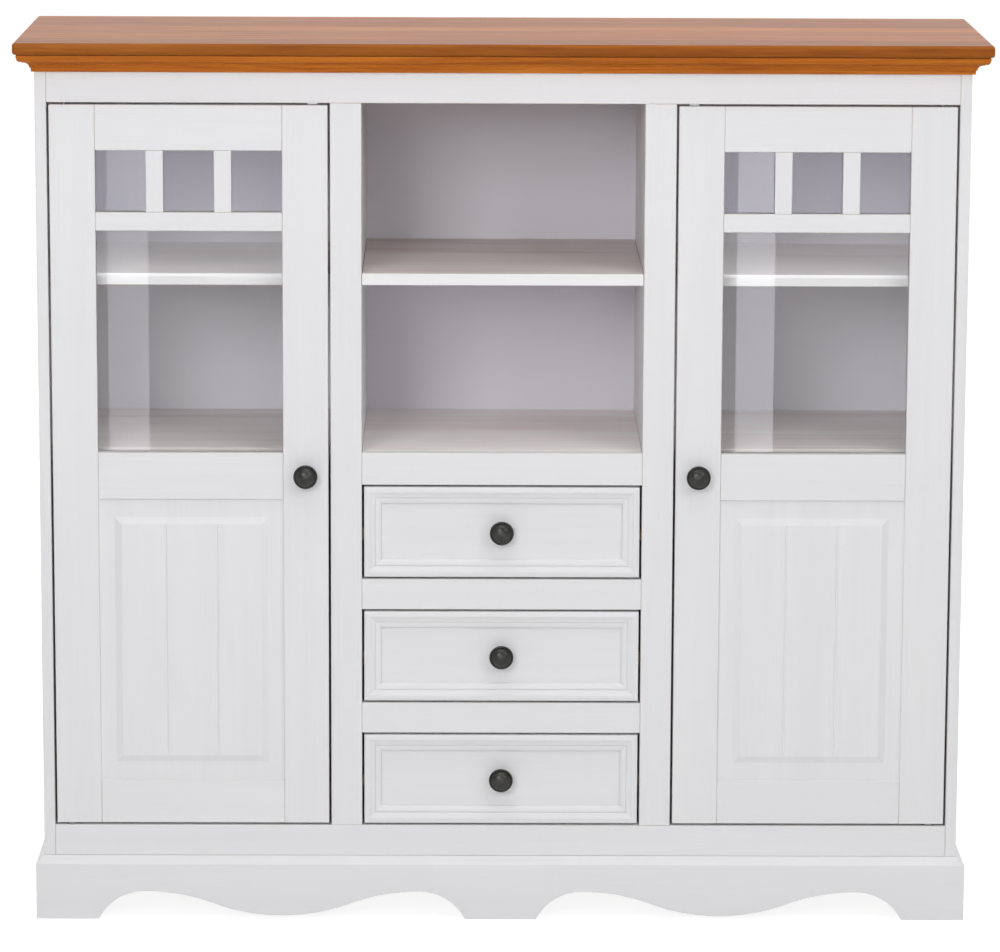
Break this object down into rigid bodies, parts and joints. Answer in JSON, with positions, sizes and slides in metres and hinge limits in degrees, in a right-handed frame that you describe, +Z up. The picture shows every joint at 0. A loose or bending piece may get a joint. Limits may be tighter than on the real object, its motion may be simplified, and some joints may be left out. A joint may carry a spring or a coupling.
{
  "type": "kitchen dresser",
  "caption": "White-stained pine dresser with a honey-coloured top, part-glazed doors either side of an open bay over drawers, on a plinth with a shaped apron.",
  "frame": {"origin": "on the floor under the middle of the top board", "axes": "+X to the right of someone facing the doors, +Y towards the wall, +Z up"},
  "size_m": [1.3, 0.4, 1.2],
  "materials": {
    "white_pine": "white translucent stain, satin lacquer, grain just showing",
    "honey_pine": "honey stain, satin lacquer",
    "raw_pine": "planed, unfinished",
    "back_board": "thin board, painted white",
    "glass": "clear float glass",
    "pewter": "dark pewter lacquer, satin",
    "white_plastic": "moulded, matt",
    "steel": "zinc plated"
  },
  "bodies": {
    "carcass": {"back_panels": "back_board", "bottom_board": "white_pine", "bottom_rail": "white_pine", "centre_shelf": "white_pine", "cornice_front": "honey_pine", "cornice_returns": "honey_pine", "door_stops": "white_plastic", "dowels": "raw_pine", "drawer_deck": "white_pine", "drawer_runners": "raw_pine", "left_partition": "white_pine", "left_shelves": "white_pine", "left_side_panel": "white_pine", "left_stile": "white_pine", "lower_drawer_rail": "white_pine", "middle_drawer_rail": "white_pine", "pivot_pins": "steel", "plinth_back": "raw_pine", "plinth_blocks": "raw_pine", "plinth_front": "white_pine", "plinth_returns": "white_pine", "right_partition": "white_pine", "right_shelves": "white_pine", "right_side_panel": "white_pine", "right_stile": "white_pine", "shelf_pins": "steel", "top_board": "honey_pine", "top_rail": "white_pine", "upper_drawer_rail": "white_pine"},
    "left_door": {"left_door_beads": "white_pine", "left_door_glass": "glass", "left_door_glazing_bars": "white_pine", "left_door_inner_stile": "white_pine", "left_door_knob": "pewter", "left_door_outer_stile": "white_pine", "left_door_panel": "white_pine", "left_door_rails": "white_pine"},
    "right_door": {"right_door_beads": "white_pine", "right_door_glass": "glass", "right_door_glazing_bars": "white_pine", "right_door_inner_stile": "white_pine", "right_door_knob": "pewter", "right_door_outer_stile": "white_pine", "right_door_panel": "white_pine", "right_door_rails": "white_pine"},
    "drawer_1": {"drawer_1_box": "raw_pine", "drawer_1_front": "white_pine", "drawer_1_knob": "pewter", "drawer_1_moulding": "white_pine"},
    "drawer_2": {"drawer_2_box": "raw_pine", "drawer_2_front": "white_pine", "drawer_2_knob": "pewter", "drawer_2_moulding": "white_pine"},
    "drawer_3": {"drawer_3_box": "raw_pine", "drawer_3_front": "white_pine", "drawer_3_knob": "pewter", "drawer_3_moulding": "white_pine"}
  },
  "joints": [
    {"name": "left_door_hinge", "type": "hinge", "parent": "carcass", "child": "left_door", "pos_m": [-0.585, -0.164, 0.6245], "axis": [0, 0, -1], "range_deg": [0, 120]},
    {"name": "right_door_hinge", "type": "hinge", "parent": "carcass", "child": "right_door", "pos_m": [0.585, -0.164, 0.6245], "axis": [0, 0, 1], "range_deg": [0, 120]},
    {"name": "drawer_1_slide", "type": "slide", "parent": "carcass", "child": "drawer_1", "axis": [0, -1, 0], "range_m": [0, 0.25]},
    {"name": "drawer_2_slide", "type": "slide", "parent": "carcass", "child": "drawer_2", "axis": [0, -1, 0], "range_m": [0, 0.25]},
    {"name": "drawer_3_slide", "type": "slide", "parent": "carcass", "child": "drawer_3", "axis": [0, -1, 0], "range_m": [0, 0.25]}
  ]
}
